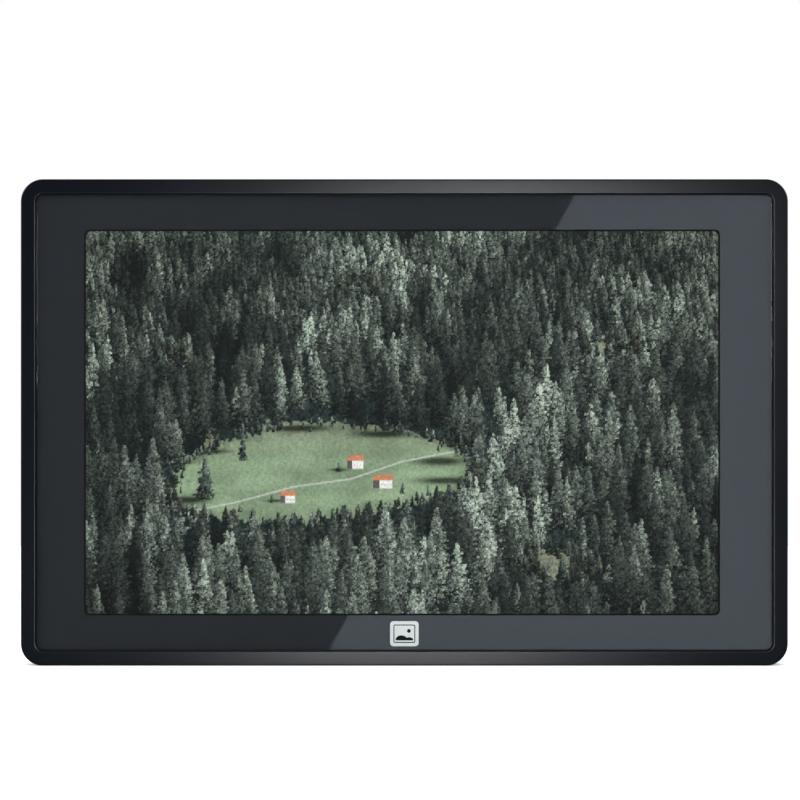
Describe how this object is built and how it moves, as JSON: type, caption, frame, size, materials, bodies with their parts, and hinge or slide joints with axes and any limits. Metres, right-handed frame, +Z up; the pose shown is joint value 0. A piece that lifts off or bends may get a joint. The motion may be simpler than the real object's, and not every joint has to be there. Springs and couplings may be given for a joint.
{
  "type": "digital photo frame",
  "caption": "Landscape digital photo frame: glass front in a rounded black rim, display and electronics, rear cover with fold-out stand.",
  "frame": {"origin": "centre of the object's bounding box in X and Y, on the flat lower edge it stands on", "axes": "+X to the right seen from the front, +Y towards the back cover, +Z up; the glass faces -Y"},
  "size_m": [0.263, 0.0206, 0.1668],
  "materials": {
    "rim_lacquer": "glossy black lacquer",
    "cover_plastic": "fine matt grain",
    "leg_plastic": "fine matt grain",
    "button_plastic": "satin",
    "clear_glass": "polished",
    "grey_ink": "screen-printed ink behind the glass",
    "silver_ink": "silver printed ink behind the glass",
    "black_foam": "foam tape",
    "screen": "display with a woodland picture",
    "white_film": "white film",
    "clear_acrylic": "clear acrylic",
    "zinc_steel": "zinc-plated sheet",
    "plug_steel": "nickel-plated",
    "board_green": "solder mask",
    "chip_black": "moulded",
    "sink_metal": "bead-blasted",
    "amber_film": "polyimide film",
    "rubber_black": "matt rubber",
    "red_wire": "insulated wire"
  },
  "bodies": {
    "case": {"front_frame": "rim_lacquer", "front_glass": "clear_glass", "glass_mask": "grey_ink", "front_badge": "silver_ink", "glass_tape": "black_foam", "display_foam": "black_foam", "display_bezel": "zinc_steel", "display_cell": "screen", "diffuser_film": "white_film", "light_guide": "clear_acrylic", "led_strip": "white_film", "reflector_sheet": "white_film", "backlight_tray": "zinc_steel", "display_ribbon": "amber_film", "display_strap_left": "zinc_steel", "display_strap_right": "zinc_steel", "strap_screw_1": "plug_steel", "strap_screw_2": "plug_steel", "strap_screw_3": "plug_steel", "strap_screw_4": "plug_steel", "main_board": "board_green", "processor": "chip_black", "heat_sink": "sink_metal", "memory_chip": "chip_black", "wireless_module": "sink_metal", "usb_port": "plug_steel", "card_slot": "plug_steel", "power_jack": "chip_black", "board_screw_1": "plug_steel", "board_screw_2": "plug_steel", "board_screw_3": "plug_steel", "board_screw_4": "plug_steel", "button_board": "board_green", "power_switch": "chip_black", "menu_switch": "chip_black", "previous_switch": "chip_black", "select_switch": "chip_black", "next_switch": "chip_black", "speaker_left": "chip_black", "speaker_right": "chip_black", "rear_cover": "cover_plastic", "hinge_pin": "plug_steel", "foot_strip_left": "rubber_black", "foot_strip_right": "rubber_black", "case_screw_1": "plug_steel", "case_screw_2": "plug_steel", "case_screw_3": "plug_steel", "case_screw_4": "plug_steel", "case_screw_5": "plug_steel", "speaker_socket": "white_film", "speaker_wire_left": "red_wire", "speaker_wire_right": "red_wire"},
    "leg": {"stand_leg": "leg_plastic", "leg_pad": "rubber_black"},
    "power_key": {"power_button": "button_plastic"},
    "menu_key": {"menu_button": "button_plastic"},
    "previous_key": {"previous_button": "button_plastic"},
    "select_key": {"select_button": "button_plastic"},
    "next_key": {"next_button": "button_plastic"}
  },
  "joints": [
    {"name": "leg_hinge", "type": "hinge", "parent": "case", "child": "leg", "pos_m": [0, 0.007, 0.1034], "axis": [1, 0, 0], "range_deg": [0, 32]},
    {"name": "power_press", "type": "slide", "parent": "case", "child": "power_key", "axis": [0, -1, 0], "range_m": [0, 0.0004], "stiffness_N_per_m": 600},
    {"name": "menu_press", "type": "slide", "parent": "case", "child": "menu_key", "axis": [0, -1, 0], "range_m": [0, 0.0004], "stiffness_N_per_m": 600},
    {"name": "previous_press", "type": "slide", "parent": "case", "child": "previous_key", "axis": [0, -1, 0], "range_m": [0, 0.0004], "stiffness_N_per_m": 600},
    {"name": "select_press", "type": "slide", "parent": "case", "child": "select_key", "axis": [0, -1, 0], "range_m": [0, 0.0004], "stiffness_N_per_m": 600},
    {"name": "next_press", "type": "slide", "parent": "case", "child": "next_key", "axis": [0, -1, 0], "range_m": [0, 0.0004], "stiffness_N_per_m": 600}
  ]
}
